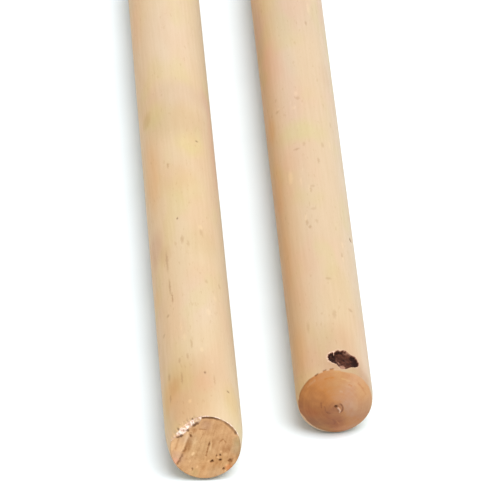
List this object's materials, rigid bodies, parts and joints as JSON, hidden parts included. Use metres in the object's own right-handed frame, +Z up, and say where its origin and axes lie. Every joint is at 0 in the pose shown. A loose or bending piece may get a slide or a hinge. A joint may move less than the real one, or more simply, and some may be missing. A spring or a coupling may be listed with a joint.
{
  "type": "claves",
  "caption": "A pair of plain turned wooden claves, lying side by side: each has a domed end with a lathe centre mark and a flat sawn end.",
  "frame": {"origin": "on the surface the pair lies on, under the middle of the pair's overall box", "axes": "+Z up; +Y along both sticks, from the resting clave's sawn end to its domed end; +X from the resting clave towards the striking clave"},
  "size_m": [0.0684, 0.3458, 0.025],
  "materials": {
    "resting_wood": "bare, smoothly turned and sanded",
    "striking_wood": "bare, smoothly turned and sanded"
  },
  "bodies": {
    "resting": {"resting_clave": "resting_wood"},
    "striking": {"striking_clave": "striking_wood"}
  },
  "joints": [
    {"name": "strike_slide", "type": "slide", "parent": "resting", "child": "striking", "axis": [-1, 0, 0], "range_m": [-0.06, 0.0182]}
  ]
}
